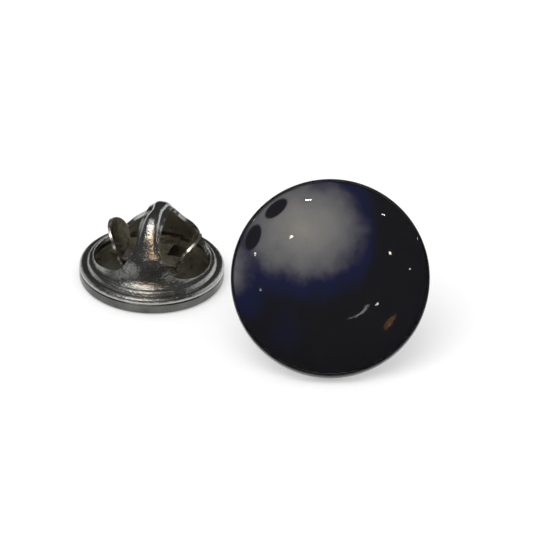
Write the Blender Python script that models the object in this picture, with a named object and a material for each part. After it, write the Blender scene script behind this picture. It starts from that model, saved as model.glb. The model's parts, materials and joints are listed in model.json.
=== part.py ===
"""Round domed lapel badge leaning on its pin post, beside its butterfly clutch.

Metres, +Z up, the table is z = 0. The badge is built about the centre of its back face, front
along local +Z, and the clutch about the centre of its underside, axis along local +Z.
"""
import math

import bmesh
import bpy
from mathutils import Matrix, Vector

MM = 0.001

# badge
BADGE_R = 8.0            # outer radius of the tray
TRAY_FLOOR = 0.8         # metal under the picture
TRAY_TOP = 1.3           # top of the raised rim above the back face
RIM_W = 0.28             # width of the rim
EDGE_ROUND = 0.15        # rounding of the tray's back edge
SPOT_R = 2.2             # shallow recess in the back where the post is welded
SPOT_DEPTH = 0.1
FIT_GAP = 0.03           # clearance between pieces that are glued or crimped together
ART_T = 0.25             # printed disc
DOME_EDGE = 1.22         # height of the lens at the rim
DOME_TOP = 2.45          # height of the lens at its middle

# pin post
POST_L = 10.0            # from the back face to the tip
POST_R = 0.55
HEAD_R = 1.7
HEAD_T = 0.3
TIP_R = 0.15             # rounding of the point
TIP_CONE = 1.3
GROOVE_R = 0.43
GROOVE_AT = 2.6          # middle of the grip groove from the tip
GROOVE_W = 0.6

# layout on the table
CLUTCH_X, CLUTCH_Y = -8.284, 4.992
CLUTCH_TURN = math.radians(-16.0)
BADGE_X = 6.184
CONTACT_Y = -9.944       # where the badge's rim touches the table

# clutch cup
CLUTCH_R = 5.9
CUP_FLOOR = 0.28
CUP_HOLE_R = 0.8
CUP_HEM_IN = 5.45        # inner radius of the rolled rim
CUP_HEM_TOP = 0.93
CUP_LEDGE_IN = 4.9       # ledge that carries the spring's feet
CUP_LEDGE_TOP = 0.8

# clutch shell, middle of the sheet
SHELL_T = 0.3
APEX_Z = 6.2
CONE_TOP = 8.04          # the dome's straight flank is z = CONE_TOP - CONE_SLOPE * r
CONE_SLOPE = 1.2
FOOT_R = 3.8             # where the flank steepens down to the flange
RIB_H = 0.22             # stiffening rib over the dome, front to back
RIB_HALF_W = 0.33        # at the top; it widens down the legs
RIB_FLARE = 0.14
FLANK_DROOP = 0.5        # the legs' sides fall away beside the rib
LEG_R = 3.4              # rib and droop fade out where the legs flare into the flange
DOME_OFFSET = 0.4        # the dome stands this far off the flange's centre
WINDOW_IN = 0.87         # side windows: straight inner edge from the dome's axis,
WINDOW_R = 4.7           # outer arc,
WINDOW_FRONT = 4.15      # flatter ellipse along the front,
WINDOW_ROUND = 1.15      # its corner,
WINDOW_BACK = 2.75       # and reach to the back

# clutch spring
SPRING_T = 0.2
WING_PIVOT = (-2.53, 1.65)
LEFT_LEAN = math.radians(19.0)   # wings as the fingers have left them
RIGHT_LEAN = math.radians(26.5)
LEAF_HALF_H = 1.85
LEAF_HALF_W = 1.75
LEAF_BOTTOM = (-2.38, 1.2)
LEAF_CUP = 0.4           # how far the leaf's edges curl inward
NECK_HALF_W = 0.62
JAW_Z = 0.85
JAW_HALF_W = 1.2
JAW_LIP_X = 0.12         # jaw edge beside the notch
NOTCH_DEPTH = 0.46       # V notch that grips the post
NOTCH_HALF_W = 0.6
BOW_T = 0.17
BOW_Z = 1.7
BOW_FOOT_Z = 0.92
BOW_HOLE_R = 0.8
BOW_STRAP_HALF_W = 1.0
BOW_FOOT_R = 5.3
BOW_ARM_X = 2.36
BOW_ARM_HALF_W = 0.8

ROUND_STEPS = 72
ARC_STEP = math.radians(24.0)


def clear_scene():
    for obj in list(bpy.data.objects):
        bpy.data.objects.remove(obj, do_unlink=True)


def material(name, colour, roughness, metallic, alpha=1.0):
    mat = bpy.data.materials.new(name)
    mat.use_nodes = True
    shader = mat.node_tree.nodes["Principled BSDF"]
    shader.inputs["Base Color"].default_value = (*colour, 1.0)
    shader.inputs["Roughness"].default_value = roughness
    shader.inputs["Metallic"].default_value = metallic
    shader.inputs["Alpha"].default_value = alpha
    mat.diffuse_color = (*colour, alpha)
    return mat


def add(name, verts, faces, mat, frame, sharp=35.0):
    """Closed mesh from vertices in millimetres, placed by a 4 x 4 frame."""
    mesh = bpy.data.meshes.new(name)
    mesh.from_pydata([Vector(v) * MM for v in verts], [], faces)
    bm = bmesh.new()
    bm.from_mesh(mesh)
    bmesh.ops.recalc_face_normals(bm, faces=bm.faces)
    bm.to_mesh(mesh)
    bm.free()
    mesh.shade_smooth()
    mesh.set_sharp_from_angle(angle=math.radians(sharp))
    mesh.materials.append(mat)
    obj = bpy.data.objects.new(name, mesh)
    bpy.context.collection.objects.link(obj)
    obj.matrix_world = frame
    return obj


def filleted(corners):
    """Polyline through (x, y, fillet radius) corners, each corner rounded by an arc."""
    path = []
    for i, (x, y, radius) in enumerate(corners):
        here = Vector((x, y))
        if radius <= 0.0 or i in (0, len(corners) - 1):
            path.append(here)
            continue
        before = (Vector(corners[i - 1][:2]) - here).normalized()
        after = (Vector(corners[i + 1][:2]) - here).normalized()
        half = before.angle(after) / 2.0
        centre = here + (before + after).normalized() * (radius / math.sin(half))
        start = here + before * (radius / math.tan(half)) - centre
        end = here + after * (radius / math.tan(half)) - centre
        turn = start.angle_signed(end)
        steps = max(2, round(abs(turn) / ARC_STEP))
        for k in range(steps + 1):
            path.append(centre + Matrix.Rotation(-turn * k / steps, 2) @ start)
    return path


def thicken(path, thickness, end_on_axis=False):
    """The two sides of a sheet whose middle follows the path: (left side, right side)."""
    left, right = [], []
    for i, p in enumerate(path):
        ahead = path[min(i + 1, len(path) - 1)] - path[max(i - 1, 0)]
        if end_on_axis and i == len(path) - 1:
            ahead = Vector((-1.0, 0.0))
        normal = Vector((-ahead.y, ahead.x)).normalized() * (thickness / 2.0)
        left.append(p + normal)
        right.append(p - normal)
    return left, right


def lathe(profile, warp=None, steps=ROUND_STEPS):
    """Revolve a closed (r, z) outline about Z. Points with r = 0 become single vertices."""
    verts, rings = [], []
    for r, z in profile:
        if r < 1e-6:
            rings.append([len(verts)] * steps)
            verts.append((0.0, 0.0, z))
            continue
        rings.append(list(range(len(verts), len(verts) + steps)))
        for k in range(steps):
            a = 2.0 * math.pi * k / steps
            verts.append((r * math.cos(a), r * math.sin(a), z))
    if warp:
        verts = [warp(*v) for v in verts]
    faces = []
    for i in range(len(rings)):
        low, high = rings[i], rings[(i + 1) % len(rings)]
        for k in range(steps):
            n = (k + 1) % steps
            quad = [low[k], low[n], high[n], high[k]]
            face = [v for j, v in enumerate(quad) if v != quad[j - 1]]
            if len(set(face)) > 2:
                faces.append(face)
    return verts, faces


def badge_frame():
    """The badge leans back until the tray's edge and the post's tip both touch the table."""
    tilt = math.atan2(POST_L, BADGE_R - EDGE_ROUND)
    reach = BADGE_R - EDGE_ROUND
    y = CONTACT_Y + reach * math.cos(tilt) + EDGE_ROUND * math.sin(tilt)
    z = EDGE_ROUND + reach * math.sin(tilt) - EDGE_ROUND * math.cos(tilt)
    place = Matrix.Translation(Vector((BADGE_X, y, z)) * MM)
    return place @ Matrix.Rotation(tilt, 4, "X")


def clutch_frame():
    place = Matrix.Translation(Vector((CLUTCH_X, CLUTCH_Y, 0.0)) * MM)
    return place @ Matrix.Rotation(CLUTCH_TURN, 4, "Z")


def make_base(mat):
    inner = BADGE_R - RIM_W
    corners = [
        (0.0, SPOT_DEPTH, 0.0), (SPOT_R, SPOT_DEPTH, 0.0), (SPOT_R, 0.0, 0.0),
        (BADGE_R, 0.0, EDGE_ROUND), (BADGE_R, TRAY_TOP, 0.12),
        (inner, TRAY_TOP, 0.1), (inner, TRAY_FLOOR, 0.0), (0.0, TRAY_FLOOR, 0.0),
    ]
    verts, faces = lathe(filleted(corners))
    return add("badge_base", verts, faces, mat, badge_frame())


def make_artwork(mat):
    r = BADGE_R - RIM_W - FIT_GAP
    z0 = TRAY_FLOOR + FIT_GAP
    verts, faces = lathe([(0.0, z0), (r, z0), (r, z0 + ART_T), (0.0, z0 + ART_T)])
    return add("artwork_disc", verts, faces, mat, badge_frame())


def make_dome(mat):
    """Resin lens: flat underside, upright edge, and a cap that swells fastest near the rim."""
    r = BADGE_R - RIM_W - FIT_GAP
    z0 = TRAY_FLOOR + ART_T + 2.0 * FIT_GAP
    profile = [(0.0, z0), (r, z0)]
    steps = 14
    for k in range(steps + 1):
        a = math.pi / 2.0 * k / steps
        swell = (1.0 - math.cos(a) ** 2.4) ** (1.0 / 1.25)
        profile.append((r * math.cos(a), DOME_EDGE + (DOME_TOP - DOME_EDGE) * swell))
    profile[-1] = (0.0, DOME_TOP)
    verts, faces = lathe(profile)
    return add("clear_dome", verts, faces, mat, badge_frame())


def make_post(mat):
    tip = -POST_L
    head_top = SPOT_DEPTH - FIT_GAP
    groove_a = tip + GROOVE_AT - GROOVE_W / 2.0
    groove_b = tip + GROOVE_AT + GROOVE_W / 2.0
    corners = [
        (0.0, head_top, 0.0), (HEAD_R, head_top, 0.08), (HEAD_R, head_top - HEAD_T, 0.1),
        (POST_R, head_top - HEAD_T, 0.2), (POST_R, groove_b + 0.12, 0.0), (GROOVE_R, groove_b, 0.0),
        (GROOVE_R, groove_a, 0.0), (POST_R, groove_a - 0.12, 0.0), (POST_R, tip + TIP_CONE, 0.3),
        (TIP_R * 0.9, tip + TIP_R * 0.56, 0.0),
    ]
    profile = filleted(corners)
    for k in range(1, 5):
        a = math.radians(-26.0 - 16.0 * k)
        profile.append((TIP_R * math.cos(a), tip + TIP_R + TIP_R * math.sin(a)))
    profile[-1] = (0.0, tip)
    verts, faces = lathe(profile, steps=32)
    return add("post", verts, faces, mat, badge_frame())


def make_cup(mat):
    corners = [
        (CUP_HOLE_R, 0.0, 0.0), (CLUTCH_R, 0.0, 0.3), (CLUTCH_R, CUP_HEM_TOP, 0.15),
        (CUP_HEM_IN, CUP_HEM_TOP, 0.0), (CUP_HEM_IN, CUP_LEDGE_TOP, 0.0),
        (CUP_LEDGE_IN, CUP_LEDGE_TOP, 0.1), (CUP_LEDGE_IN, CUP_FLOOR, 0.0), (CUP_HOLE_R, CUP_FLOOR, 0.0),
    ]
    verts, faces = lathe(filleted(corners))
    return add("clutch_cup", verts, faces, mat, clutch_frame())


def dome_warp(x, y, z):
    """Raised rib and drooping flanks on the legs, and the dome's small offset."""
    fade = 1.0 - min(1.0, math.hypot(x, y) / LEG_R) ** 3
    half = RIB_HALF_W + RIB_FLARE * abs(y)
    rib = RIB_H * max(0.0, 1.0 - (x / half) ** 2)
    droop = FLANK_DROOP * max(0.0, min(abs(x), WINDOW_IN + 0.6) - half)
    shift = min(1.0, max(0.0, (z - 1.9) / 2.0))
    return x + DOME_OFFSET * shift, y, z + fade * (rib - droop)


def back_corner(inner):
    """Centre and radius of the corner that meets the straight edge, the arc and the reach."""
    b = 2.0 * (inner - WINDOW_BACK + WINDOW_R)
    c = inner ** 2 + WINDOW_BACK ** 2 - WINDOW_R ** 2
    radius = (-b + math.sqrt(b * b - 4.0 * c)) / 2.0
    return inner + radius, WINDOW_BACK - radius, radius


def front_corner(inner):
    """Where the corner leaves the front ellipse, and the corner's centre and end angle."""
    low, high = 0.0, math.pi / 2.0
    for _ in range(50):
        t = (low + high) / 2.0
        normal = Vector((WINDOW_FRONT * math.cos(t), -WINDOW_R * math.sin(t))).normalized()
        on_edge = Vector((WINDOW_R * math.cos(t), -WINDOW_FRONT * math.sin(t)))
        centre = on_edge - normal * WINDOW_ROUND
        if centre.x > inner + WINDOW_ROUND:
            low = t
        else:
            high = t
    return t, centre, math.atan2(normal.y, normal.x)


def window_outline(inner):
    """Side window in plan: straight inner edge, front ellipse, outer arc, rounded corners."""
    bx, by, br = back_corner(inner)
    start, corner, turn = front_corner(inner)
    back = math.atan2(by, bx)
    points = []
    for k in range(12):
        t = start * (12 - k) / 12
        points.append((WINDOW_R * math.cos(t), -WINDOW_FRONT * math.sin(t)))
    for k in range(9):
        a = back * k / 8
        points.append((WINDOW_R * math.cos(a), WINDOW_R * math.sin(a)))
    for k in range(1, 11):
        a = back + (math.pi - back) * k / 10
        points.append((bx + br * math.cos(a), by + br * math.sin(a)))
    for k in range(0, 8):
        a = math.pi + (math.pi + turn) * k / 8
        points.append((corner.x + WINDOW_ROUND * math.cos(a), corner.y + WINDOW_ROUND * math.sin(a)))
    return points


def window_cutter(name, side):
    outline = [(side * x, y) for x, y in window_outline(WINDOW_IN + side * DOME_OFFSET)]
    n = len(outline)
    verts = [(x, y, z) for z in (0.5, APEX_Z + 1.0) for x, y in outline]
    faces = [list(range(n)), list(range(n, 2 * n))]
    faces += [[i, (i + 1) % n, n + (i + 1) % n, n + i] for i in range(n)]
    cutter = add(name, verts, faces, None, clutch_frame())
    cutter.hide_render = True
    cutter.display_type = "WIRE"
    return cutter


def make_shell(mat):
    foot_z = CONE_TOP - CONE_SLOPE * FOOT_R
    top_r = (CONE_TOP - APEX_Z) / CONE_SLOPE
    corners = [
        (5.75, 0.98, 0.0), (5.75, 1.27, 0.14), (5.42, 1.27, 0.14), (5.27, 1.2, 0.12),
        (5.04, 1.55, 0.16), (4.62, 1.66, 0.28), (FOOT_R, foot_z, 1.2), (top_r, APEX_Z, 1.5),
        (0.0, APEX_Z, 0.0),
    ]
    outer, inner = thicken(filleted(corners), SHELL_T, end_on_axis=True)
    outer[-1].x = inner[-1].x = 0.0
    verts, faces = lathe([tuple(p) for p in outer] + [tuple(p) for p in reversed(inner)], dome_warp)
    shell = add("clutch_shell", verts, faces, mat, clutch_frame())
    for name, side in (("window_cutter_left", -1.0), ("window_cutter_right", 1.0)):
        cut = shell.modifiers.new(name, "BOOLEAN")
        cut.operation = "DIFFERENCE"
        cut.solver = "EXACT"
        cut.object = window_cutter(name, side)
    return shell


def grid_solid(rows, thickness):
    """Closed sheet from rows of (x, y, z, normal x, normal z) points across its width."""
    n = len(rows[0])
    half = thickness / 2.0
    verts = []
    for sign in (1.0, -1.0):
        for row in rows:
            verts += [(x + sign * half * nx, y, z + sign * half * nz) for x, y, z, nx, nz in row]
    m = len(rows)
    top = lambda i, j: i * n + j
    low = lambda i, j: m * n + i * n + j
    faces = []
    for i in range(m - 1):
        for j in range(n - 1):
            faces.append([top(i, j), top(i, j + 1), top(i + 1, j + 1), top(i + 1, j)])
            faces.append([low(i, j), low(i + 1, j), low(i + 1, j + 1), low(i, j + 1)])
    for i in range(m - 1):
        faces.append([top(i, 0), top(i + 1, 0), low(i + 1, 0), low(i, 0)])
        faces.append([top(i + 1, n - 1), top(i, n - 1), low(i, n - 1), low(i + 1, n - 1)])
    for j in range(n - 1):
        faces.append([top(0, j + 1), top(0, j), low(0, j), low(0, j + 1)])
        faces.append([top(m - 1, j), top(m - 1, j + 1), low(m - 1, j + 1), low(m - 1, j)])
    return verts, faces


def wing_path(lean):
    """Middle line of one spring lever in x and z: leaf top, neck, fold, then jaw."""
    along = Vector((-math.sin(lean), math.cos(lean)))
    centre = Vector(LEAF_BOTTOM) + along * LEAF_HALF_H
    leaf = [centre + along * LEAF_HALF_H * math.cos(math.pi * k / 16) for k in range(15)]
    fold = filleted([(*leaf[-1], 0.0), (*LEAF_BOTTOM, 0.35), (-1.75, JAW_Z, 0.3), (-1.2, JAW_Z, 0.0)])
    return leaf + fold[1:]


def wing_half_width(i, z):
    """Broad rounded leaf above, narrow neck through the window, broad jaw inside."""
    if i < 15:
        up = math.cos(math.pi * i / 16)
        leaf = LEAF_HALF_W * math.sqrt(max(0.0, 1.0 - abs(up) ** 2.2))
        return max(leaf, 0.35 if up > 0.0 else NECK_HALF_W)
    grow = min(1.0, max(0.0, (1.35 - z) / (1.35 - JAW_Z)))
    return NECK_HALF_W + (JAW_HALF_W - NECK_HALF_W) * grow


def make_wing(name, side, lean, mat):
    path = wing_path(lean)
    left, right = thicken(path, 2.0)
    columns = [k / 6.0 for k in range(-6, 7)]
    rows = []
    for i, p in enumerate(path):
        normal = (left[i] - right[i]) / 2.0
        width = wing_half_width(i, p.y)
        curl = LEAF_CUP * (width / LEAF_HALF_W) ** 2 if i < 15 else 0.0
        row = []
        for c in columns:
            x = p.x + normal.x * curl * c * c
            z = p.y + normal.y * curl * c * c
            row.append((x, width * c, z, normal.x, normal.y))
        rows.append(row)
    for k in range(1, 5):
        row = []
        for c in columns:
            y = JAW_HALF_W * c
            notch = NOTCH_DEPTH * max(0.0, 1.0 - abs(y) / NOTCH_HALF_W)
            lip = -JAW_LIP_X - notch
            row.append((-1.2 + (lip + 1.2) * k / 4.0, y, JAW_Z, 0.0, rows[-1][0][4]))
        rows.append(row)
    px, pz = WING_PIVOT
    rows = [[(side * (x - px), y, z - pz, side * nx, nz) for x, y, z, nx, nz in r] for r in rows]
    verts, faces = grid_solid(rows, SPRING_T)
    pivot = Matrix.Translation(Vector((side * px, 0.0, pz)) * MM)
    return add(name, verts, faces, mat, clutch_frame() @ pivot)


def bow_height(y):
    """The strap steps down from the raised middle to its two clamped feet."""
    t = min(1.0, max(0.0, (abs(y) - 2.3) / 2.2))
    return BOW_Z + (BOW_FOOT_Z - BOW_Z) * t * t * (3.0 - 2.0 * t)


def make_bow(mat):
    """Middle of the spring: a cross-shaped plate with a hole for the post."""
    w, a = BOW_STRAP_HALF_W, BOW_ARM_HALF_W
    foot = math.sqrt(BOW_FOOT_R ** 2 - w ** 2)
    edge = [(BOW_ARM_X, a * k / 4.0) for k in range(0, 5)]
    edge += [(w + (BOW_ARM_X - w) * k / 3.0, a) for k in (2, 1, 0)]
    edge += [(w, a + (foot - a) * k / 12.0) for k in range(1, 13)]
    edge += [(w * k / 4.0, math.sqrt(BOW_FOOT_R ** 2 - (w * k / 4.0) ** 2)) for k in (3, 2, 1, 0)]
    quarter = edge[1:-1]
    outline = [edge[0]] + quarter + [edge[-1]] + [(-x, y) for x, y in reversed(quarter)]
    outline += [(-x, -y) for x, y in [edge[0]] + quarter + [edge[-1]]]
    outline += [(x, -y) for x, y in reversed(quarter)]
    levels = [0.0, 0.15, 0.3, 0.42, 0.52, 0.62, 0.7, 0.78, 0.86, 0.93, 1.0]
    n, m = len(outline), len(levels)
    verts = []
    for half in (BOW_T / 2.0, -BOW_T / 2.0):
        for f in levels:
            for x, y in outline:
                reach = math.hypot(x, y)
                r = BOW_HOLE_R + (reach - BOW_HOLE_R) * f
                px, py = x / reach * r, y / reach * r
                verts.append((px, py, bow_height(py) + half))
    faces = []
    for i in range(m - 1):
        for j in range(n):
            k = (j + 1) % n
            faces.append([i * n + j, i * n + k, (i + 1) * n + k, (i + 1) * n + j])
            faces.append([(m + i) * n + j, (m + i + 1) * n + j, (m + i + 1) * n + k, (m + i) * n + k])
    for i in (0, m - 1):
        for j in range(n):
            k = (j + 1) % n
            faces.append([i * n + j, (m + i) * n + j, (m + i) * n + k, i * n + k])
    return add("spring_bow", verts, faces, mat, clutch_frame())


def main():
    clear_scene()
    plated = material("tray_nickel", (0.42, 0.42, 0.43), 0.25, 1.0)
    picture = material("picture_print", (0.05, 0.05, 0.09), 0.4, 0.0)
    resin = material("lens_resin", (0.9, 0.9, 0.92), 0.03, 0.0, 0.25)
    post_steel = material("post_steel", (0.55, 0.54, 0.52), 0.3, 1.0)
    chrome = material("clutch_chrome", (0.36, 0.36, 0.35), 0.12, 1.0)
    cup_steel = material("cup_chrome", (0.34, 0.34, 0.34), 0.16, 1.0)
    spring_steel = material("spring_steel", (0.4, 0.4, 0.39), 0.2, 1.0)
    make_base(plated)
    make_artwork(picture)
    make_dome(resin)
    make_post(post_steel)
    make_cup(cup_steel)
    make_shell(chrome)
    make_bow(spring_steel)
    make_wing("left_wing", 1.0, LEFT_LEAN, spring_steel)
    make_wing("right_wing", -1.0, RIGHT_LEAN, spring_steel)


main()
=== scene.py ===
"""Looks of a round domed lapel badge and its butterfly clutch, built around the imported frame.

Lengths are millimetres in each piece's own frame: the badge's starts at the centre of its back
face with the picture towards +Z, the clutch's at the centre of its underside with +Z up.
"""

import json
import math

import bmesh
import bpy
import numpy as np
from mathutils import Matrix, Vector

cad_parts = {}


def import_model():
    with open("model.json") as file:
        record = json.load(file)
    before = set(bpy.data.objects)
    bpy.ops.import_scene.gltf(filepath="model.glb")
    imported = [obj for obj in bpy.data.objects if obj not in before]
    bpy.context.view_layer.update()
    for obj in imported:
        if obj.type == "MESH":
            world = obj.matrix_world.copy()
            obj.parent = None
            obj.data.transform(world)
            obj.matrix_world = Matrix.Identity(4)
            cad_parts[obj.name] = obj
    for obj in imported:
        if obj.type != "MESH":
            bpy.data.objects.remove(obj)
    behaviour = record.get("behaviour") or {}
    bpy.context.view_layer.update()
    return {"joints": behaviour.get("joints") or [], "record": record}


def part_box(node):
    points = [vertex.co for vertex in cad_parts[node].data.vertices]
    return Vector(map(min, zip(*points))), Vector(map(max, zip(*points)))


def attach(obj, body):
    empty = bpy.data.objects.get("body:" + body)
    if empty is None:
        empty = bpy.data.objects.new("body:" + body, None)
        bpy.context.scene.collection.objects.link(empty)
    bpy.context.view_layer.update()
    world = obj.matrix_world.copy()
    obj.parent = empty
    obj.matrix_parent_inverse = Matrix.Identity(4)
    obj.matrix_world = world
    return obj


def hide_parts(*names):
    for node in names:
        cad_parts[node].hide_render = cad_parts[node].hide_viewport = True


MM = 0.001

# badge
TRAY_R = 8.0
TRAY_TOP = 1.3
TRAY_FLOOR = 0.8
RIM_W = 0.2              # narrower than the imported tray's 0.28
SPOT_R, SPOT_DEPTH = 2.2, 0.1
PICTURE_R = 7.77
PICTURE_LOW, PICTURE_TOP = 0.83, 1.08
LENS_LOW = 1.06          # the resin is bonded to the print
LENS_EDGE, LENS_TOP = 1.22, 2.45
LENS_R = 7.7             # the dome's curve would meet its edge height here
LENS_BULGE, LENS_FULLNESS = 2.4, 0.8
LENS_SHOULDER, LENS_SLOPE = 0.98, 0.375
LENS_RING = (0.1, 0.14, 0.2, 0.4, 0.6, 0.8)     # distances in from the lens's edge
LENS_GAP = 0.02          # between the lens's edge and the tray's rim

# pin post
POST_L, POST_R = 10.0, 0.55
HEAD_R, HEAD_TOP, HEAD_LOW = 1.7, 0.07, -0.23
GROOVE_R, GROOVE_LOW, GROOVE_HIGH = 0.43, -7.7, -7.1
CONE_START, TIP_R = -8.7, 0.15

# clutch cup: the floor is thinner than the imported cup's 0.28, which the jaws enter at 12 degrees
CUP_R, CUP_FLOOR, CUP_HOLE_R = 5.9, 0.24, 0.8
HOLE_LOW, HOLE_HIGH = 0.05, 0.16     # the outline's two ends, on the hole's straight wall
HEM_IN, HEM_TOP = 5.45, 0.93
LEDGE_IN, LEDGE_TOP = 4.9, 0.8

# clutch shell: middle of the sheet
SHELL_T = 0.3
APEX_Z = 6.2
CONE_TOP, CONE_SLOPE = 8.04, 1.2
FOOT_R = 3.8
LEG_BULGE = 0.07         # the legs are a little convex from top to foot
RIB_H, RIB_HALF_W, RIB_FLARE = 0.2, 0.33, 0.14
FLANK_DROOP, FLANK_W = 0.5, 0.6
LEG_R = 3.4              # where the rib and the flanks have faded out
DOME_OFFSET = 0.4
SHIFT_LOW, SHIFT_RISE = 1.9, 2.0     # height where the offset begins, and the rise to all of it
WINDOW_IN, WINDOW_R = 0.87, 4.7
WINDOW_FRONT, WINDOW_ROUND, WINDOW_BACK = 4.15, 1.15, 2.75
FLANGE_R = 4.85          # outside the windows, where the turned flange begins

# clutch spring
SPRING_T = 0.2
PIVOT_X, PIVOT_Z = -2.53, 1.65
LEFT_LEAN, RIGHT_LEAN = math.radians(19.0), math.radians(26.5)
LEAF_HALF_H, LEAF_HALF_W = 1.85, 1.75
LEAF_BOTTOM = (-2.38, 1.2)
LEAF_CUP = 0.4
LEAF_TIP_HALF_W = 0.2
LEAF_ROUNDNESS = 2.2
LEAF_STEPS = 48
NECK_HALF_W, NECK_LOW = 0.62, 1.35
JAW_BEND_X, JAW_START_X = -1.75, -1.2
JAW_Z, JAW_HALF_W, JAW_LIP_X = 0.85, 1.2, 0.12
NOTCH_DEPTH, NOTCH_HALF_W = 0.46, 0.6
BOW_T, BOW_Z, BOW_FOOT_Z = 0.17, 1.7, 0.92
BOW_FLAT_Y, BOW_SLOPE_LENGTH = 2.3, 2.2
BOW_HOLE_R, BOW_STRAP_HALF_W, BOW_FOOT_R = 0.8, 1.0, 5.3
BOW_ARM_X, BOW_ARM_HALF_W = 2.36, 0.8

ROUND_STEPS = 224
ARC_STEP = math.radians(9.0)

# picture, in the badge's frame: millimetres and degrees
PATCH = ((-2.2, 3.88), (5.1, 4.3))
PATCH_TAIL = ((-8.3, 0.7), (2.15, 2.75))
BLUE_SPOT = ((-3.56, -4.3), (1.5, 1.9))
OVALS = (((-4.41, 5.48), (1.1, 0.53), 42.0), ((-6.19, 3.14), (1.1, 0.56), 70.0))


# ---------------------------------------------------------------- frames

def frame_matrix(x, y, z, origin):
    rotation = Matrix((x, y, z)).transposed().to_4x4()
    return Matrix.Translation(origin) @ rotation


def badge_frame(record):
    mount = next(m for m in record["mounts"] if m["name"] == "badge_back")
    normal = -Vector(mount["axis"]).normalized()
    across = Vector((1.0, 0.0, 0.0))
    low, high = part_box("artwork_disc")
    centre = (low + high) / 2.0
    centre -= normal * (centre - Vector(mount["pos_m"])).dot(normal)
    return frame_matrix(across, normal.cross(across), normal, centre)


def clutch_frame(joints):
    joint = next(j for j in joints if j["name"] == "left_wing_squeeze")
    up = Vector((0.0, 0.0, 1.0))
    along = Vector(joint["axis"]).normalized()
    low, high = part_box("clutch_cup")
    centre = (low + high) / 2.0
    return frame_matrix(along.cross(up), along, up, Vector((centre.x, centre.y, low.z)))


# ---------------------------------------------------------------- shapes

def filleted(corners, arc_step=ARC_STEP):
    """Points along (x, y, fillet radius) corners, each corner rounded by an arc."""
    path = []
    for i, (x, y, radius) in enumerate(corners):
        here = Vector((x, y))
        if radius <= 0.0 or i in (0, len(corners) - 1):
            path.append(here)
            continue
        before = (Vector(corners[i - 1][:2]) - here).normalized()
        after = (Vector(corners[i + 1][:2]) - here).normalized()
        half = before.angle(after) / 2.0
        centre = here + (before + after).normalized() * (radius / math.sin(half))
        start = here + before * (radius / math.tan(half)) - centre
        end = here + after * (radius / math.tan(half)) - centre
        turn = start.angle_signed(end)
        steps = max(3, round(abs(turn) / arc_step))
        for k in range(steps + 1):
            path.append(centre + Matrix.Rotation(-turn * k / steps, 2) @ start)
    return path


def lathe(profile, steps=ROUND_STEPS):
    """Revolves a closed (r, z) outline about Z. Points with r = 0 become single vertices."""
    verts, rings = [], []
    for r, z in profile:
        if r < 1e-6:
            rings.append([len(verts)] * steps)
            verts.append((0.0, 0.0, z))
            continue
        rings.append(list(range(len(verts), len(verts) + steps)))
        for k in range(steps):
            a = 2.0 * math.pi * k / steps
            verts.append((r * math.cos(a), r * math.sin(a), z))
    faces = []
    for i in range(len(rings)):
        low, high = rings[i], rings[(i + 1) % len(rings)]
        for k in range(steps):
            n = (k + 1) % steps
            quad = [low[k], low[n], high[n], high[k]]
            face = [v for j, v in enumerate(quad) if v != quad[j - 1]]
            if len(set(face)) > 2:
                faces.append(face)
    return verts, faces


def add(name, verts, faces, mat, place, sharp=35.0):
    mesh = bpy.data.meshes.new(name)
    mesh.from_pydata([Vector(v) * MM for v in verts], [], faces)
    bm = bmesh.new()
    bm.from_mesh(mesh)
    bmesh.ops.recalc_face_normals(bm, faces=bm.faces)
    bm.to_mesh(mesh)
    bm.free()
    mesh.shade_smooth()
    mesh.set_sharp_from_angle(angle=math.radians(sharp))
    mesh.materials.append(mat)
    piece = bpy.data.objects.new(name, mesh)
    bpy.context.scene.collection.objects.link(piece)
    piece.matrix_world = place
    return piece


def sheet_metal(piece, thickness, edge):
    """Gives a bare surface its thickness and eased edges."""
    solid = piece.modifiers.new("sheet", "SOLIDIFY")
    solid.thickness = thickness * MM
    solid.offset = 0.0
    solid.use_even_offset = False
    solid.use_rim = True
    ease = piece.modifiers.new("edges", "BEVEL")
    ease.width = edge * MM
    ease.segments = 3
    ease.limit_method = "ANGLE"
    ease.angle_limit = math.radians(50.0)
    ease.harden_normals = True
    return piece


def stand_in(piece, body, slot, *nodes):
    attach(piece, body)
    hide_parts(*nodes)
    return piece


# ---------------------------------------------------------------- badge

def make_tray(mat, place):
    inner = TRAY_R - RIM_W
    corners = [
        (0.0, SPOT_DEPTH, 0.0), (SPOT_R, SPOT_DEPTH, 0.03), (SPOT_R, 0.0, 0.04),
        (TRAY_R, 0.0, 0.15), (TRAY_R, TRAY_TOP, 0.13),
        (inner, TRAY_TOP, 0.06), (inner, TRAY_FLOOR, 0.0), (0.0, TRAY_FLOOR, 0.0),
    ]
    verts, faces = lathe(filleted(corners))
    return add("tray", verts, faces, mat, place)


def make_picture(mat, place):
    edge = 0.05
    corners = [
        (0.0, PICTURE_LOW, 0.0), (PICTURE_R, PICTURE_LOW, edge), (PICTURE_R, PICTURE_TOP, edge),
        (0.0, PICTURE_TOP, 0.0),
    ]
    verts, faces = lathe(filleted(corners))
    return add("picture", verts, faces, mat, place)


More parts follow.
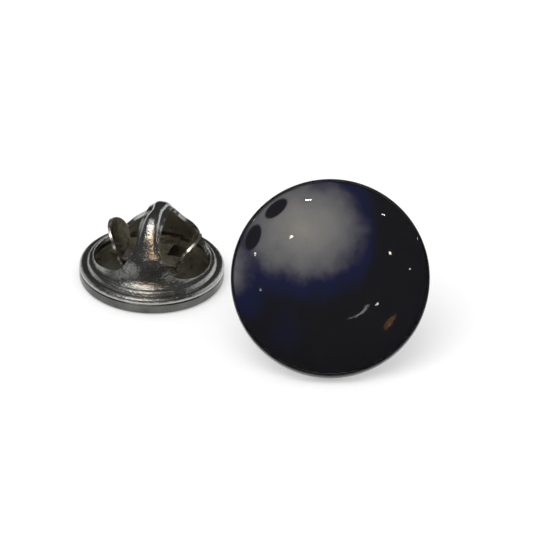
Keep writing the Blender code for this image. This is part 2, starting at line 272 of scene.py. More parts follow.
def make_lens(mat, place):
    """Poured resin: it stands steep at the rim and nearly flat across the middle."""
    r = TRAY_R - RIM_W - LENS_GAP
    turn = r - LENS_SHOULDER

    def height_at(x):
        swell = (1.0 - (x / LENS_R) ** LENS_BULGE) ** LENS_FULLNESS
        return LENS_EDGE + (LENS_TOP - LENS_EDGE) * swell

    def shoulder(x):
        return height_at(turn) - LENS_SLOPE * (x - turn)

    profile = filleted([(0.0, LENS_LOW, 0.0), (r, LENS_LOW, 0.0), (r, shoulder(r), 0.05),
                        (turn, height_at(turn), 0.0)])[:-1]
    profile += [Vector((r - d, shoulder(r - d))) for d in LENS_RING]
    steps = 56
    for k in range(steps + 1):
        a = math.pi / 2.0 * k / steps
        x = turn * math.cos(a)
        profile.append((x, height_at(x)))
    profile[-1] = (0.0, LENS_TOP)
    verts, faces = lathe(profile)
    return add("lens", verts, faces, mat, place)


def make_post(mat, place):
    tip = -POST_L
    corners = [
        (0.0, HEAD_TOP, 0.0), (HEAD_R, HEAD_TOP, 0.08), (HEAD_R, HEAD_LOW, 0.1),
        (POST_R, HEAD_LOW, 0.2), (POST_R, GROOVE_HIGH + 0.12, 0.06), (GROOVE_R, GROOVE_HIGH, 0.06),
        (GROOVE_R, GROOVE_LOW, 0.06), (POST_R, GROOVE_LOW - 0.12, 0.06), (POST_R, CONE_START, 0.5),
        (TIP_R * 0.9, tip + TIP_R * 0.56, 0.0),
    ]
    profile = filleted(corners)
    for k in range(1, 9):
        a = math.radians(-26.0 - 8.0 * k)
        profile.append((TIP_R * math.cos(a), tip + TIP_R + TIP_R * math.sin(a)))
    profile[-1] = (0.0, tip)
    verts, faces = lathe(profile, steps=64)
    return add("pin_post", verts, faces, mat, place)


# ---------------------------------------------------------------- clutch

def make_cup(mat, inside, place):
    corners = [
        (CUP_HOLE_R, HOLE_LOW, 0.0), (CUP_HOLE_R, 0.0, 0.04),
        (CUP_R, 0.0, 0.3), (CUP_R, HEM_TOP, 0.15),
        (HEM_IN, HEM_TOP, 0.04), (HEM_IN, LEDGE_TOP, 0.04), (LEDGE_IN, LEDGE_TOP, 0.1),
        (LEDGE_IN, CUP_FLOOR, 0.12), (CUP_HOLE_R, CUP_FLOOR, 0.04), (CUP_HOLE_R, HOLE_HIGH, 0.0),
    ]
    verts, faces = lathe(filleted(corners))
    cup = add("cup", verts, faces, mat, place)
    # the floor and ledge inside the cup take the lighter copy of the plating: painted light
    cup.data.materials.append(inside)
    for face in cup.data.polygons:
        x, y, z = face.center / MM
        if z > CUP_FLOOR - 0.02 and math.hypot(x, y) < HEM_IN:
            face.material_index = 1
    return cup


def shell_profile():
    """Middle line of the sheet from the clamped flange in to the top, as (r, z) points."""
    foot_z = CONE_TOP - CONE_SLOPE * FOOT_R
    top_r = (CONE_TOP - APEX_Z) / CONE_SLOPE
    return filleted([
        (5.75, 0.98, 0.0), (5.75, 1.27, 0.25), (5.42, 1.27, 0.06), (5.27, 1.2, 0.12),
        (5.04, 1.55, 0.16), (4.62, 1.66, 0.7), (FOOT_R, foot_z, 1.2),
        ((FOOT_R + top_r) / 2.0, (foot_z + APEX_Z) / 2.0 + LEG_BULGE, 6.0), (top_r, APEX_Z, 1.5),
        (0.0, APEX_Z, 0.0),
    ], math.radians(2.0))


def dome_shift(z):
    return min(1.0, max(0.0, (z - SHIFT_LOW) / SHIFT_RISE))


def shell_point(x, y, z):
    """Raised rib and drooping flanks on the legs, and the dome's small offset."""
    fade = 1.0 - min(1.0, math.hypot(x, y) / LEG_R) ** 3
    half = RIB_HALF_W + RIB_FLARE * abs(y)
    rib = RIB_H * max(0.0, 1.0 - (x / half) ** 4)
    droop = FLANK_DROOP * max(0.0, min(abs(x), WINDOW_IN + FLANK_W) - half)
    return x + DOME_OFFSET * dome_shift(z), y, z + fade * (rib - droop)


def back_corner(inner):
    """Centre and radius of the corner that meets the straight edge, the arc and the reach."""
    b = 2.0 * (inner - WINDOW_BACK + WINDOW_R)
    c = inner ** 2 + WINDOW_BACK ** 2 - WINDOW_R ** 2
    radius = (-b + math.sqrt(b * b - 4.0 * c)) / 2.0
    return inner + radius, WINDOW_BACK - radius, radius


def front_corner(inner):
    """Where the corner leaves the front ellipse, and the corner's centre and end angle."""
    low, high = 0.0, math.pi / 2.0
    for _ in range(50):
        t = (low + high) / 2.0
        normal = Vector((WINDOW_FRONT * math.cos(t), -WINDOW_R * math.sin(t))).normalized()
        on_edge = Vector((WINDOW_R * math.cos(t), -WINDOW_FRONT * math.sin(t)))
        centre = on_edge - normal * WINDOW_ROUND
        if centre.x > inner + WINDOW_ROUND:
            low = t
        else:
            high = t
    return t, centre, math.atan2(normal.y, normal.x)


def window_outline(side):
    """Side window in plan: straight inner edge, front ellipse, outer arc, rounded corners."""
    inner = WINDOW_IN + side * DOME_OFFSET
    bx, by, br = back_corner(inner)
    start, corner, turn = front_corner(inner)
    back = math.atan2(by, bx)
    points = []
    for t in np.linspace(start, 0.0, 160, endpoint=False):
        points.append((WINDOW_R * math.cos(t), -WINDOW_FRONT * math.sin(t)))
    for a in np.linspace(0.0, back, 80, endpoint=False):
        points.append((WINDOW_R * math.cos(a), WINDOW_R * math.sin(a)))
    for a in np.linspace(back, math.pi, 160, endpoint=False):
        points.append((bx + br * math.cos(a), by + br * math.sin(a)))
    for y in np.linspace(by, corner.y, 120, endpoint=False):
        points.append((inner, y))
    for a in np.linspace(math.pi, 2.0 * math.pi + turn, 160, endpoint=False):
        points.append((corner.x + WINDOW_ROUND * math.cos(a), corner.y + WINDOW_ROUND * math.sin(a)))
    return [(side * x, y) for x, y in points]


def window_span(side, height_at):
    """Inner and outer radius of a window against the angle, before the dome is offset."""
    polar = []
    for px, py in window_outline(side):
        x = px
        for _ in range(40):
            x = px - DOME_OFFSET * dome_shift(height_at(math.hypot(x, py)))
        polar.append((math.atan2(py, x * side), math.hypot(x, py)))
    n = len(polar)
    first = min(range(n), key=lambda i: polar[i][0])
    last = max(range(n), key=lambda i: polar[i][0])
    chain = lambda a, b: [polar[(a + k) % n] for k in range((b - a) % n + 1)]
    outer, inner = chain(first, last), chain(last, first)[::-1]
    if sum(p[1] for p in outer) / len(outer) < sum(p[1] for p in inner) / len(inner):
        outer, inner = inner, outer
    return polar[first][0], polar[last][0], inner, outer


def make_shell(mat, inside, place):
    """One pressed sheet: polar rows that open round the two side windows."""
    profile = shell_profile()
    radii = [p.x for p in profile][::-1]
    heights = [p.y for p in profile][::-1]
    height_at = lambda r: float(np.interp(r, radii, heights))
    spans = {side: window_span(side, height_at) for side in (1.0, -1.0)}
    columns = []                     # (angle, inner radius, outer radius, open)
    window_steps, leg_steps = 72, 44

    def window_columns(side):
        low, high, inner, outer = spans[side]
        made = []
        for k in range(window_steps + 1):
            a = (low + high) / 2.0 - (high - low) / 2.0 * math.cos(math.pi * k / window_steps)
            r_in = float(np.interp(a, [p[0] for p in inner], [p[1] for p in inner]))
            r_out = float(np.interp(a, [p[0] for p in outer], [p[1] for p in outer]))
            if k in (0, window_steps):
                r_in = r_out = (r_in + r_out) / 2.0
            made.append((a if side > 0.0 else math.pi - a, r_in, r_out))
        return made if side > 0.0 else made[::-1]

    right, left = window_columns(1.0), window_columns(-1.0)

    def leg_columns(start, end):
        a0, a1 = start[0], end[0]
        while a1 < a0:
            a1 += 2.0 * math.pi
        made = []
        for k in range(1, leg_steps):
            t = k / leg_steps
            r = start[1] + (end[1] - start[1]) * t
            made.append((a0 + (a1 - a0) * t, r, r))
        return made

    columns = right + leg_columns(right[-1], left[0]) + left + leg_columns(left[-1], right[0])
    flange = [p for p in profile if p.x > FLANGE_R]
    inner_rows, outer_rows = 34, 6
    verts, grid_in, grid_out = [(0.0, 0.0, APEX_Z)], [], []
    for a, r_in, r_out in columns:
        ring_in, ring_out = [], []
        for k in range(1, inner_rows + 1):
            r = r_in * (k / inner_rows)
            ring_in.append(len(verts))
            verts.append((r * math.cos(a), r * math.sin(a), height_at(r)))
        closed = abs(r_out - r_in) < 1e-9
        for k in range(outer_rows):
            if k == 0 and closed:
                ring_out.append(ring_in[-1])
                continue
            r = r_out + (FLANGE_R - r_out) * k / outer_rows
            ring_out.append(len(verts))
            verts.append((r * math.cos(a), r * math.sin(a), height_at(r)))
        for p in reversed(flange):
            ring_out.append(len(verts))
            verts.append((p.x * math.cos(a), p.x * math.sin(a), p.y))
        grid_in.append(ring_in)
        grid_out.append(ring_out)
    verts = [shell_point(*v) for v in verts]
    faces = []
    for i in range(len(columns)):
        j = (i + 1) % len(columns)
        faces.append([0, grid_in[i][0], grid_in[j][0]])
        for rows in (grid_in, grid_out):
            for k in range(len(rows[i]) - 1):
                quad = [rows[i][k], rows[i][k + 1], rows[j][k + 1], rows[j][k]]
                faces.append(quad)
    shell = add("shell", verts, faces, mat, place, sharp=80.0)
    # the shell's inner face takes the lighter copy of the plating: painted light on the inside of the
    # dome
    shell.data.materials.append(inside)
    sheet_metal(shell, SHELL_T, 0.05).modifiers["sheet"].material_offset = 1
    return shell


def wing_path(lean):
    """Middle line of one lever in x and z: leaf top, neck, fold, then jaw."""
    along = Vector((-math.sin(lean), math.cos(lean)))
    centre = Vector(LEAF_BOTTOM) + along * LEAF_HALF_H
    leaf = [centre + along * LEAF_HALF_H * math.cos(math.pi * k / LEAF_STEPS)
            for k in range(LEAF_STEPS - 2)]
    fold = filleted([(*leaf[-1], 0.0), (*LEAF_BOTTOM, 0.35), (JAW_BEND_X, JAW_Z, 0.3),
                     (JAW_START_X, JAW_Z, 0.0)])
    return leaf, fold[1:]


def make_wing(name, side, lean, mat, place):
    leaf, fold = wing_path(lean)
    path = leaf + fold
    columns = [k / 14.0 for k in range(-14, 15)]
    rows = []
    for i, p in enumerate(path):
        ahead = path[min(i + 1, len(path) - 1)] - path[max(i - 1, 0)]
        normal = Vector((-ahead.y, ahead.x)).normalized()
        if i < len(leaf):
            up = math.cos(math.pi * i / LEAF_STEPS)
            width = LEAF_HALF_W * math.sqrt(max(0.0, 1.0 - abs(up) ** LEAF_ROUNDNESS))
            width = max(width, LEAF_TIP_HALF_W if up > 0.0 else NECK_HALF_W)
            curl = LEAF_CUP * (width / LEAF_HALF_W) ** 2
        else:
            grow = min(1.0, max(0.0, (NECK_LOW - p.y) / (NECK_LOW - JAW_Z)))
            width, curl = NECK_HALF_W + (JAW_HALF_W - NECK_HALF_W) * grow, 0.0
        rows.append([(p.x + normal.x * curl * c * c, width * c, p.y + normal.y * curl * c * c)
                     for c in columns])
    jaw_start = rows[-1][0][0]
    for k in range(1, 7):
        row = []
        for c in columns:
            y = JAW_HALF_W * c
            lip = -JAW_LIP_X - NOTCH_DEPTH * max(0.0, 1.0 - abs(y) / NOTCH_HALF_W)
            row.append((jaw_start + (lip - jaw_start) * k / 6.0, y, JAW_Z))
        rows.append(row)
    n = len(columns)
    verts = [(side * (x - PIVOT_X), y, z - PIVOT_Z) for row in rows for x, y, z in row]
    faces = [[i * n + j, i * n + j + 1, (i + 1) * n + j + 1, (i + 1) * n + j]
             for i in range(len(rows) - 1) for j in range(n - 1)]
    pivot = Matrix.Translation(Vector((side * PIVOT_X, 0.0, PIVOT_Z)) * MM)
    wing = add(name, verts, faces, mat, place @ pivot, sharp=60.0)
    return sheet_metal(wing, SPRING_T, 0.04)


def bow_height(y):
    t = min(1.0, max(0.0, (abs(y) - BOW_FLAT_Y) / BOW_SLOPE_LENGTH))
    return BOW_Z + (BOW_FOOT_Z - BOW_Z) * t * t * (3.0 - 2.0 * t)


def make_bow(mat, place):
    """Middle of the spring: a cross-shaped plate with a hole for the post."""
    w, a = BOW_STRAP_HALF_W, BOW_ARM_HALF_W
    foot = math.sqrt(BOW_FOOT_R ** 2 - w ** 2)
    edge = [(BOW_ARM_X, a * k / 8.0) for k in range(0, 9)]
    edge += [(w + (BOW_ARM_X - w) * k / 6.0, a) for k in (5, 4, 3, 2, 1, 0)]
    edge += [(w, a + (foot - a) * k / 24.0) for k in range(1, 25)]
    edge += [(w * k / 8.0, math.sqrt(BOW_FOOT_R ** 2 - (w * k / 8.0) ** 2)) for k in range(7, -1, -1)]
    quarter = edge[1:-1]
    outline = [edge[0]] + quarter + [edge[-1]] + [(-x, y) for x, y in reversed(quarter)]
    outline += [(-x, -y) for x, y in [edge[0]] + quarter + [edge[-1]]]
    outline += [(x, -y) for x, y in reversed(quarter)]
    levels = 22
    n = len(outline)
    verts = []
    for f in range(levels + 1):
        for x, y in outline:
            reach = math.hypot(x, y)
            r = BOW_HOLE_R + (reach - BOW_HOLE_R) * f / levels
            px, py = x / reach * r, y / reach * r
            verts.append((px, py, bow_height(py)))
    faces = [[i * n + j, i * n + (j + 1) % n, (i + 1) * n + (j + 1) % n, (i + 1) * n + j]
             for i in range(levels) for j in range(n)]
    bow = add("bow", verts, faces, mat, place, sharp=60.0)
    return sheet_metal(bow, BOW_T, 0.04)


# ---------------------------------------------------------------- materials

class Graph:
    """Short names for the nodes that the materials use."""

    def __init__(self, name):
        self.mat = bpy.data.materials.new(name)
        self.mat.use_nodes = True
        self.tree = self.mat.node_tree
        self.shader = self.tree.nodes["Principled BSDF"]
        self.coords = self.tree.nodes.new("ShaderNodeTexCoord").outputs["Object"]

    def plug(self, socket, value):
        if isinstance(value, bpy.types.NodeSocket):
            self.tree.links.new(value, socket)
        else:
            socket.default_value = value

    def math(self, operation, a, b=0.0, c=0.0):
        made = self.tree.nodes.new("ShaderNodeMath")
        made.operation = operation
        for socket, value in zip(made.inputs, (a, b, c)):
            self.plug(socket, value)
        return made.outputs[0]

    def vector(self, operation, a, b=None, scale=None):
        made = self.tree.nodes.new("ShaderNodeVectorMath")
        made.operation = operation
        self.plug(made.inputs[0], a)
        if b is not None:
            self.plug(made.inputs[1], b)
        if scale is not None:
            self.plug(made.inputs["Scale"], scale)
        return made.outputs["Value"] if operation in ("LENGTH", "DOT_PRODUCT") else made.outputs[0]

    def noise(self, coords, scale, detail=3.0, rough=0.5, colour=False):
        made = self.tree.nodes.new("ShaderNodeTexNoise")
        self.plug(made.inputs["Vector"], coords)
        made.inputs["Scale"].default_value = scale
        made.inputs["Detail"].default_value = detail
        made.inputs["Roughness"].default_value = rough
        return made.outputs["Color" if colour else "Fac"]

    def ramp(self, value, low, high, to_low=0.0, to_high=1.0, smooth=False):
        made = self.tree.nodes.new("ShaderNodeMapRange")
        made.interpolation_type = "SMOOTHSTEP" if smooth else "LINEAR"
        for socket, number in zip(made.inputs, (value, low, high, to_low, to_high)):
            self.plug(socket, number)
        return made.outputs[0]

    def colours(self, value, stops):
        made = self.tree.nodes.new("ShaderNodeValToRGB")
        self.plug(made.inputs[0], value)
        ramp = made.color_ramp
        while len(ramp.elements) < len(stops):
            ramp.elements.new(0.5)
        for element, (place, colour) in zip(ramp.elements, stops):
            element.position = place
            element.color = (*colour, 1.0)
        return made.outputs[0]

    def mix(self, fac, a, b):
        made = self.tree.nodes.new("ShaderNodeMix")
        made.data_type = "RGBA"
        self.plug(made.inputs["Factor"], fac)
        for key, value in (("A", a), ("B", b)):
            socket = next(s for s in made.inputs if s.name == key and s.type == "RGBA")
            self.plug(socket, (*value, 1.0) if isinstance(value, tuple) else value)
        return next(s for s in made.outputs if s.type == "RGBA")

    def bump(self, height, strength, distance):
        made = self.tree.nodes.new("ShaderNodeBump")
        made.inputs["Strength"].default_value = strength
        made.inputs["Distance"].default_value = distance
        self.plug(made.inputs["Height"], height)
        self.plug(self.shader.inputs["Normal"], made.outputs[0])

    def set(self, **values):
        for key, value in values.items():
            self.plug(self.shader.inputs[key.replace("_", " ")], value)


def millimetres(g):
    return g.vector("SCALE", g.coords, scale=1.0 / MM)


def plated_metal(name, dark, light, rough, bump=0.12, hammer=0.0, turned=False):
    """Bright plating: cloudy tint, uneven polish, hammered speckle, pits, and turning lines."""
    g = Graph(name)
    place = millimetres(g)
    cloud = g.noise(place, 0.55, 4.0, 0.6)
    g.set(Base_Color=g.mix(g.ramp(cloud, 0.35, 0.68), dark, light), Metallic=1.0)
    smear = g.noise(place, 1.9, 5.0, 0.65)
    g.set(Roughness=g.ramp(smear, 0.3, 0.72, rough * 0.65, rough * 1.6))
    height = g.noise(place, 2.6, 3.0, 0.5)
    if hammer:
        speckle = g.noise(place, 5.5, 3.0, 0.65)
        reach = g.vector("LENGTH", g.vector("MULTIPLY", place, (1.0, 1.0, 0.0)))
        legs = g.ramp(reach, 2.4, 3.1, hammer, hammer * 0.4)
        flange = g.ramp(reach, 4.2, 4.8, 0.0, hammer * 1.9)
        height = g.math("ADD", height, g.math("MULTIPLY", speckle, g.math("ADD", legs, flange)))
    if turned:
        flat = g.vector("MULTIPLY", place, (1.0, 1.0, 0.0))
        rings = g.noise(g.vector("SCALE", (1.0, 0.0, 0.0), scale=g.vector("LENGTH", flat)), 9.0, 2.0)
        height = g.math("ADD", g.math("MULTIPLY", height, 0.5), rings)
    pits = g.ramp(g.noise(place, 14.0, 1.0), 0.7, 0.76)
    height = g.math("SUBTRACT", height, g.math("MULTIPLY", pits, 0.15))
    g.bump(height, bump, 0.05 * MM)
    return g.mat


def ellipse_depth(g, place, centre, radii, turn=0.0):
    """1 at the middle of an ellipse, 0 on its edge and negative outside."""
    moved = g.vector("SUBTRACT", place, (*centre, 0.0))
    c, s = math.cos(math.radians(turn)), math.sin(math.radians(turn))
    u = g.vector("DOT_PRODUCT", moved, (c / radii[0], s / radii[0], 0.0))
    v = g.vector("DOT_PRODUCT", moved, (-s / radii[1], c / radii[1], 0.0))
    reach = g.math("SQRT", g.math("ADD", g.math("MULTIPLY", u, u), g.math("MULTIPLY", v, v)))
    return g.math("SUBTRACT", 1.0, reach)


def printed_picture():
    """Near-black print with one soft grey light, its blue fringe, and two dark ovals."""
    g = Graph("picture_print")
    place = millimetres(g)
    wander = g.vector("SUBTRACT", g.noise(place, 0.55, 4.0, 0.55, colour=True), (0.5, 0.5, 0.5))
    soft = g.vector("ADD", place, g.vector("SCALE", wander, scale=1.9))
    patch = g.math("MULTIPLY", ellipse_depth(g, soft, *PATCH), 4.6)
    tail = g.math("MULTIPLY", ellipse_depth(g, soft, *PATCH_TAIL), 2.2)
    depth = g.math("SMOOTH_MAX", patch, tail, 0.8)
    shade = g.colours(g.ramp(depth, -3.0, 4.6), [
        (0.0, (0.0146, 0.0140, 0.0160)),
        (0.14, (0.0150, 0.0142, 0.0205)),
        (0.26, (0.0150, 0.0180, 0.050)),
        (0.36, (0.0165, 0.0190, 0.069)),
        (0.41, (0.044, 0.043, 0.080)),
        (0.47, (0.100, 0.098, 0.125)),
        (0.57, (0.195, 0.191, 0.203)),
        (0.74, (0.298, 0.289, 0.283)),
        (1.0, (0.400, 0.382, 0.337)),
    ])
    beside = g.ramp(g.vector("DOT_PRODUCT", soft, (1.0, 0.0, 0.0)), 2.7, 3.9, smooth=True)
    shade = g.mix(beside, shade, (0.0150, 0.0144, 0.0180))
    blue = g.ramp(ellipse_depth(g, soft, *BLUE_SPOT), -0.5, 0.9, 0.0, 0.5, smooth=True)
    shade = g.mix(blue, shade, (0.0155, 0.0165, 0.052))
    for centre, radii, turn in OVALS:
        hole = g.ramp(ellipse_depth(g, place, centre, radii, turn), -0.14, 0.14, smooth=True)
        shade = g.mix(hole, shade, (0.0175, 0.0165, 0.0215))
    grain = g.noise(place, 16.0, 2.0, 0.6)
    shade = g.mix(g.ramp(grain, 0.3, 0.7, 0.0, 0.18), shade, (0.010, 0.010, 0.013))
    g.set(Base_Color=shade, Roughness=g.ramp(grain, 0.3, 0.7, 0.5, 0.62))
    g.shader.inputs["Specular IOR Level"].default_value = 0.0
    g.bump(grain, 0.05, 0.01 * MM)
    return g.mat


def clear_resin():
    """Glossy resin. Lamps reach the print through it, which plain glass would block."""
    g = Graph("lens_resin")
    place = millimetres(g)
    ripple = g.noise(place, 0.35, 1.0, 0.4)
    dust = g.noise(place, 5.0, 2.0)
    g.set(Roughness=g.ramp(dust, 0.35, 0.7, 0.012, 0.045))
    g.set(Base_Color=g.mix(ripple, (0.97, 0.97, 0.975), (1.0, 1.0, 1.0)))
    g.shader.inputs["Transmission Weight"].default_value = 1.0
    g.shader.inputs["IOR"].default_value = 1.5
    g.bump(ripple, 0.25, 0.03 * MM)
    output = g.tree.nodes["Material Output"]
    shadow = g.tree.nodes.new("ShaderNodeLightPath").outputs["Is Shadow Ray"]
    clear = g.tree.nodes.new("ShaderNodeBsdfTransparent")
    mix = g.tree.nodes.new("ShaderNodeMixShader")
    g.tree.links.new(shadow, mix.inputs[0])
    g.tree.links.new(g.shader.outputs[0], mix.inputs[1])
    g.tree.links.new(clear.outputs[0], mix.inputs[2])
    g.tree.links.new(mix.outputs[0], output.inputs["Surface"])
    return g.mat


# ---------------------------------------------------------------- studio

CAMERA_ELEVATION = math.radians(31.94)
CAMERA_ROLL = math.radians(1.0)
CAMERA_DISTANCE = 1.0
CAMERA_TARGET = Vector((1.042, 6.816, 0.0)) * MM
CAMERA_LENS = 828.4
FLOOR_DROP = 0.02        # keeps the floor just clear of the pieces' undersides


def direction(azimuth, elevation):
    """Unit vector; azimuth 0 is towards the camera's side (-Y), 90 is +X. Degrees."""
    a, e = math.radians(azimuth), math.radians(elevation)
    return Vector((math.sin(a) * math.cos(e), -math.cos(a) * math.cos(e), math.sin(e)))


def make_camera():
    e, roll = CAMERA_ELEVATION, CAMERA_ROLL
    view = Vector((0.0, math.cos(e), -math.sin(e)))
    right, up = Vector((1.0, 0.0, 0.0)), Vector((0.0, math.sin(e), math.cos(e)))
    x = right * math.cos(roll) + up * math.sin(roll)
    y = up * math.cos(roll) - right * math.sin(roll)
    data = bpy.data.cameras.new("camera")
    data.lens, data.sensor_width = CAMERA_LENS, 36.0
    data.clip_start, data.clip_end = 0.01, 10.0
    camera = bpy.data.objects.new("camera", data)
    bpy.context.scene.collection.objects.link(camera)
    camera.matrix_world = frame_matrix(x, y, -view, CAMERA_TARGET - view * CAMERA_DISTANCE)
    bpy.context.scene.camera = camera


def make_floor():
    g = Graph("floor_paper")
    grain = g.noise(g.coords, 900.0, 3.0)
    g.set(Base_Color=g.mix(grain, (0.60, 0.60, 0.60), (0.63, 0.63, 0.63)), Roughness=0.9)
    g.shader.inputs["Specular IOR Level"].default_value = 0.0
    g.shader.inputs["Emission Color"].default_value = (1.0, 1.0, 1.0, 1.0)
    g.shader.inputs["Emission Strength"].default_value = 0.36      # lit from below
    bm = bmesh.new()
    bmesh.ops.create_circle(bm, cap_ends=True, radius=3.0, segments=96)
    mesh = bpy.data.meshes.new("floor")
    bm.to_mesh(mesh)
    bm.free()
    mesh.materials.append(g.mat)
    floor = bpy.data.objects.new("floor", mesh)
    bpy.context.scene.collection.objects.link(floor)
    floor.location.z = -FLOOR_DROP * MM


def make_world(ambient, reflected):
    """Soft white light all round; polished surfaces see a dim room instead."""
    world = bpy.data.worlds.new("studio")
    bpy.context.scene.world = world
    world.use_nodes = True
    tree = world.node_tree
    room = tree.nodes["Background"]
    room.inputs[0].default_value = (1.0, 1.0, 1.0, 1.0)
    room.inputs[1].default_value = ambient
    dim = tree.nodes.new("ShaderNodeBackground")
    dim.inputs[1].default_value = reflected
    coords = tree.nodes.new("ShaderNodeTexCoord").outputs["Generated"]
    split = tree.nodes.new("ShaderNodeSeparateXYZ")
    tree.links.new(coords, split.inputs[0])
    ramp = tree.nodes.new("ShaderNodeValToRGB")
    ramp.color_ramp.elements[0].color = (0.35, 0.34, 0.33, 1.0)
    ramp.color_ramp.elements[1].color = (1.0, 1.0, 1.03, 1.0)
    tree.links.new(split.outputs[2], ramp.inputs[0])
    tree.links.new(ramp.outputs[0], dim.inputs[0])
    mix = tree.nodes.new("ShaderNodeMixShader")
    glossy = tree.nodes.new("ShaderNodeLightPath").outputs["Is Glossy Ray"]
    tree.links.new(glossy, mix.inputs[0])
    tree.links.new(room.outputs[0], mix.inputs[1])
    tree.links.new(dim.outputs[0], mix.inputs[2])
    tree.links.new(mix.outputs[0], tree.nodes["World Output"].inputs[0])


def make_lamp(name, centre, towards, distance, size, radiance, colour, diffuse, glossy, only=None):
    """Area lamp of (width, height) mm per metre of distance, facing the centre."""
    data = bpy.data.lights.new(name, "AREA")
    width, height = (s * MM * distance for s in size)
    data.shape = "ELLIPSE"
    data.size, data.size_y = width, height
    data.energy = radiance * math.pi * (math.pi * width * height / 4.0)
    data.color = colour
    lamp = bpy.data.objects.new(name, data)
    bpy.context.scene.collection.objects.link(lamp)
    lamp.location = centre + towards * distance
    lamp.rotation_euler = towards.to_track_quat("Z", "Y").to_euler()
    lamp.visible_diffuse = diffuse
    lamp.visible_glossy = glossy
    lamp.visible_camera = False
    if only:
        lamp.light_linking.receiver_collection = only


WHITE, WARM, COOL, AMBER = (1.0, 1.0, 1.0), (1.0, 0.86, 0.66), (0.8, 0.87, 1.0), (1.0, 0.5, 0.16)
GOLD, STRAW, INSIDE = (1.0, 0.68, 0.4), (1.0, 0.95, 0.82), (1.0, 0.98, 0.84)
# small lamps mirrored as highlights: azimuth, elevation, size, radiance, colour
GLINTS = (
    (-34.5, 74.4, (44, 32), 60.0, COOL),
    (-21.6, 55.1, (26, 24), 26.0, WARM),
    (-66.6, 54.8, (28, 28), 24.0, WHITE),
    (-45.3, 45.3, (26, 26), 20.0, WHITE),
    (54.1, 63.3, (28, 26), 24.0, WHITE),
    (32.1, 49.1, (22, 26), 24.0, WARM),
    (64.0, 47.3, (26, 24), 18.0, WHITE),
    (45.2, 40.0, (20, 20), 14.0, WHITE),
    (-32.0, 34.7, (16, 16), 14.0, WHITE),
    (18.3, 34.5, (20, 16), 14.0, WHITE),
    (24.6, 23.2, (56, 84), 1.0, AMBER),
    (26.6, 24.0, (56, 84), 1.4, AMBER),
    (28.8, 25.4, (40, 50), 0.9, AMBER),
)
# azimuth and elevation of the lamps that make one curved highlight on the lens
ARC = ((6.8, 32.0), (8.1, 32.0), (9.5, 32.2), (10.8, 32.6), (12.0, 33.2), (13.0, 34.0), (13.7, 34.9))


def light_studio(centre, clutch_only, inside_only):
    make_world(0.80, 0.085)
    key = direction(-25.0, 62.0)
    make_lamp("key", centre, key, 0.9, (900, 900), 2.6, WHITE, True, False)
    for i, (azimuth, elevation, size, radiance, colour) in enumerate(GLINTS):
        make_lamp(f"glint_{i}", centre, direction(azimuth, elevation), 1.0, size, radiance, colour,
                  False, True)
    for i, (azimuth, elevation) in enumerate(ARC):
        fade = i / (len(ARC) - 1)
        make_lamp(f"arc_{i}", centre, direction(azimuth, elevation), 1.0, (26, 9 + 9 * fade),
                  1.0 + 2.6 * math.sin(2.4 * fade), WHITE, False, True)
    panels = (
        ("panel_right", 80.0, 28.0, (1100, 560), 0.85, WHITE),
        ("panel_left", -122.0, 12.0, (900, 300), 0.75, WHITE),
        ("panel_behind", 126.0, 14.0, (760, 500), 1.0, WHITE),
        ("panel_apron", -62.0, 19.5, (1100, 130), 0.55, WHITE),
        ("panel_top", -80.0, 74.0, (650, 420), 0.9, WHITE),
        ("rib_white", -36.0, 51.6, (420, 190), 4.6, WHITE),
        ("rib_gold", -36.0, 45.2, (420, 34), 3.2, GOLD),
        ("bead_white", -6.0, 60.0, (520, 110), 3.2, STRAW),
        ("bead_gold", -10.0, 45.0, (340, 110), 3.0, GOLD),
    )
    for name, azimuth, elevation, size, radiance, colour in panels:
        make_lamp(name, centre, direction(azimuth, elevation), 1.0, size, radiance, colour,
                  False, True, clutch_only)
    make_lamp("fill_inside", centre, direction(-10.0, 66.0), 1.0, (900, 900), 1.1, INSIDE,
              False, True, inside_only)


# ---------------------------------------------------------------- assembly

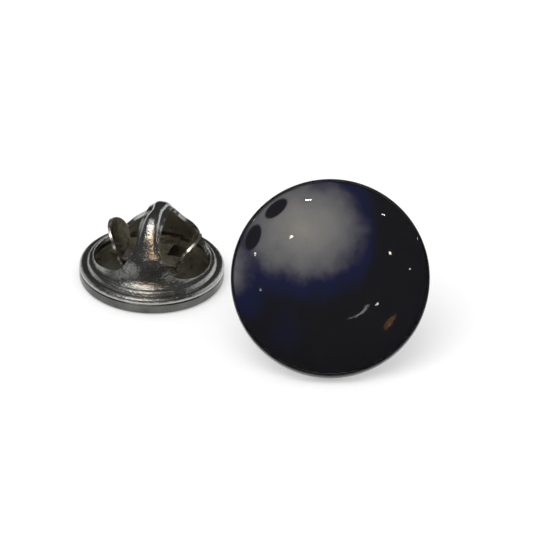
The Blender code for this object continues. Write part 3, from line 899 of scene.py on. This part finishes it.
def main():
    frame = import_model()
    badge = badge_frame(frame["record"])
    clutch = clutch_frame(frame["joints"])
    nickel = plated_metal("tray_nickel", (0.07, 0.07, 0.072), (0.11, 0.11, 0.112), 0.3, 0.02, turned=True)
    post_steel = plated_metal("post_steel", (0.42, 0.41, 0.39), (0.58, 0.57, 0.55), 0.22)
    chrome = plated_metal("clutch_chrome", (0.34, 0.345, 0.325), (0.46, 0.46, 0.44), 0.13, 0.34, 1.0)
    # the cup's plating is a darker copy of the shell's: painted shade on the cup's wall, which would
    # otherwise mirror the pale floor
    cup_chrome = plated_metal("cup_chrome", (0.09, 0.09, 0.085), (0.15, 0.15, 0.145), 0.18)
    # a lighter, warmer copy of the plating for the faces inside the cup and the shell: painted light on
    # the insides
    inside_chrome_painted_light = plated_metal("inside_chrome_painted_light", (0.44, 0.44, 0.38), (0.60, 0.58, 0.51), 0.34, 0.05)
    spring_steel = plated_metal("spring_steel", (0.46, 0.43, 0.40), (0.64, 0.61, 0.57), 0.22, 0.06)

    stand_in(make_tray(nickel, badge), "badge", "tray_nickel", "badge_base")
    stand_in(make_picture(printed_picture(), badge), "badge", "picture_print", "artwork_disc")
    stand_in(make_lens(clear_resin(), badge), "badge", "lens_resin", "clear_dome")
    stand_in(make_post(post_steel, badge), "badge", "post_steel", "post")
    parts = [
        stand_in(make_cup(cup_chrome, inside_chrome_painted_light, clutch), "clutch", "cup_chrome", "clutch_cup"),
        stand_in(make_shell(chrome, inside_chrome_painted_light, clutch), "clutch", "clutch_chrome", "clutch_shell"),
        stand_in(make_bow(spring_steel, clutch), "clutch", "spring_steel", "spring_bow"),
        stand_in(make_wing("wing_left", 1.0, LEFT_LEAN, spring_steel, clutch),
                 "wing_left", "spring_steel", "left_wing"),
        stand_in(make_wing("wing_right", -1.0, RIGHT_LEAN, spring_steel, clutch),
                 "wing_right", "spring_steel", "right_wing"),
    ]
    clutch_only = bpy.data.collections.new("clutch_pieces")
    inside_only = bpy.data.collections.new("clutch_insides")
    for piece in parts:
        clutch_only.objects.link(piece)
        if piece.name != "shell":
            inside_only.objects.link(piece)
    make_floor()
    make_camera()
    light_studio(badge.translation, clutch_only, inside_only)
    scene = bpy.context.scene
    scene.view_settings.view_transform = "Standard"
    scene.cycles.use_denoising = True


main()
